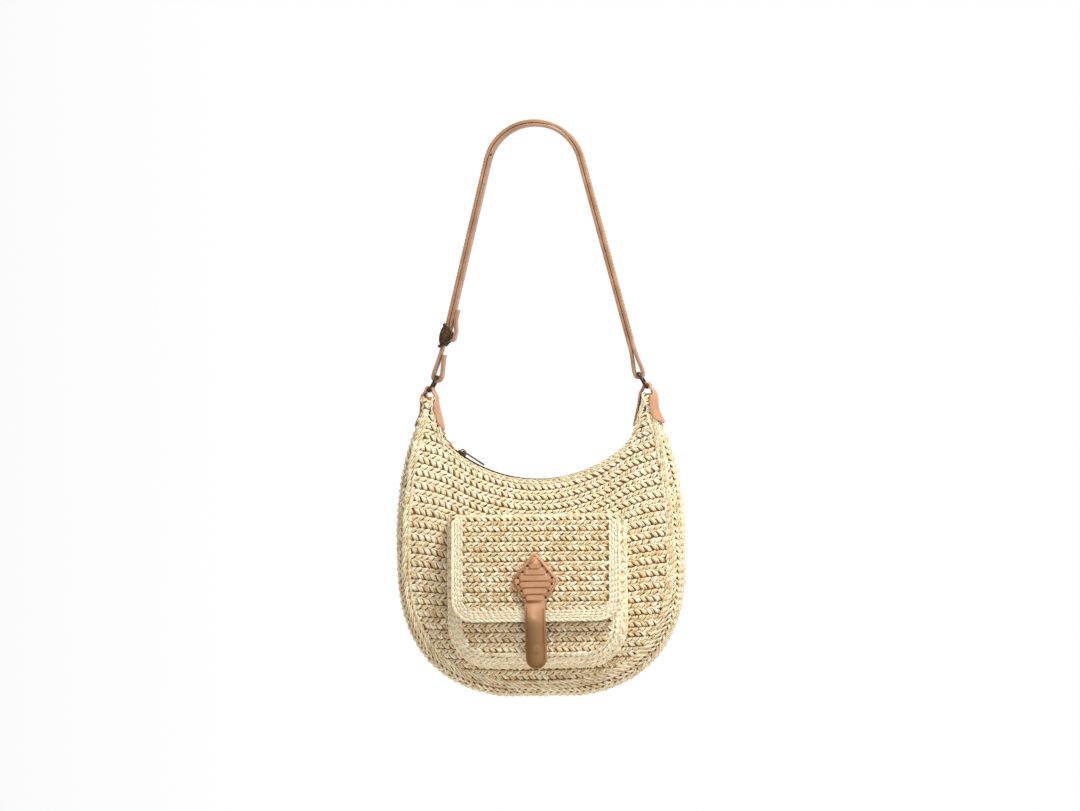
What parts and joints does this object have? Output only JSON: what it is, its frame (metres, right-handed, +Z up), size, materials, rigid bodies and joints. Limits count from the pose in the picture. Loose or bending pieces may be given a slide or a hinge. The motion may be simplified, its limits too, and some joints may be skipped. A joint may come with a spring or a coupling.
{
  "type": "hobo bag",
  "caption": "Crescent crochet hobo bag with a zipped mouth, a flapped front pocket and a doubled adjustable leather strap.",
  "frame": {"origin": "underside of the strap at its highest point, where a shoulder, hand or hook carries the bag", "axes": "+X to the right, +Y from the pocket side to the back, +Z up"},
  "size_m": [0.3, 0.1417, 0.6026],
  "materials": {
    "crochet_straw": "crocheted paper straw, satin",
    "lining_cotton": "woven cotton, matt",
    "tan_leather": "smooth grain, semi-matt",
    "zip_tape": "woven tape, matt",
    "antique_bronze": "dark antique bronze, satin"
  },
  "bodies": {
    "strap": {"strap_long": "tan_leather", "strap_take_up": "tan_leather"},
    "adjuster": {"adjuster_buckle": "antique_bronze", "adjuster_strap_fold": "tan_leather"},
    "rings": {"ring_left": "antique_bronze", "ring_right": "antique_bronze"},
    "bag": {"front_panel": "crochet_straw", "back_panel": "crochet_straw", "gusset": "crochet_straw", "lining": "lining_cotton", "zip_tape_front": "zip_tape", "zip_tape_back": "zip_tape", "zip_chain_front": "antique_bronze", "zip_chain_back": "antique_bronze", "zip_stop_left": "antique_bronze", "zip_stop_right": "antique_bronze", "side_tab_left": "tan_leather", "side_tab_right": "tan_leather", "pocket_front": "crochet_straw", "pocket_gusset": "crochet_straw", "snap_socket": "antique_bronze"},
    "flap": {"pocket_flap": "crochet_straw", "closure_diamond": "tan_leather", "closure_lace": "tan_leather"},
    "closure": {"closure_strap": "tan_leather", "snap_stud": "antique_bronze"},
    "zip_slider": {"zip_slider": "antique_bronze"},
    "zip_pull": {"zip_pull": "antique_bronze"}
  },
  "joints": [
    {"name": "adjuster_slide", "type": "slide", "parent": "strap", "child": "adjuster", "axis": [0.2453, 0, 0.9694], "range_m": [0, 0.09], "deforming": ["strap_take_up"]},
    {"name": "ring_rock", "type": "hinge", "parent": "strap", "child": "rings", "pos_m": [0, 0, -0.261], "axis": [1, 0, 0], "range_deg": [-8, 8]},
    {"name": "bag_swing", "type": "hinge", "parent": "rings", "child": "bag", "pos_m": [0, 0, -0.276], "axis": [1, 0, 0], "range_deg": [-8, 8]},
    {"name": "flap_hinge", "type": "hinge", "parent": "bag", "child": "flap", "pos_m": [0, -0.03203, -0.407], "axis": [-1, 0, 0], "range_deg": [0, 95]},
    {"name": "closure_bend", "type": "hinge", "parent": "flap", "child": "closure", "pos_m": [0, -0.08206, -0.5], "axis": [-1, 0, 0], "range_deg": [0, 60], "stiffness_Nm_per_rad": 0.03},
    {"name": "zip_run", "type": "hinge", "parent": "bag", "child": "zip_slider", "pos_m": [0, 0, -0.2325], "axis": [0, -1, 0], "range_deg": [0, 73.6]},
    {"name": "zip_pull_swing", "type": "hinge", "parent": "zip_slider", "child": "zip_pull", "pos_m": [-0.08021, 0, -0.33972], "axis": [0, -1, 0], "range_deg": [0, 100]}
  ]
}
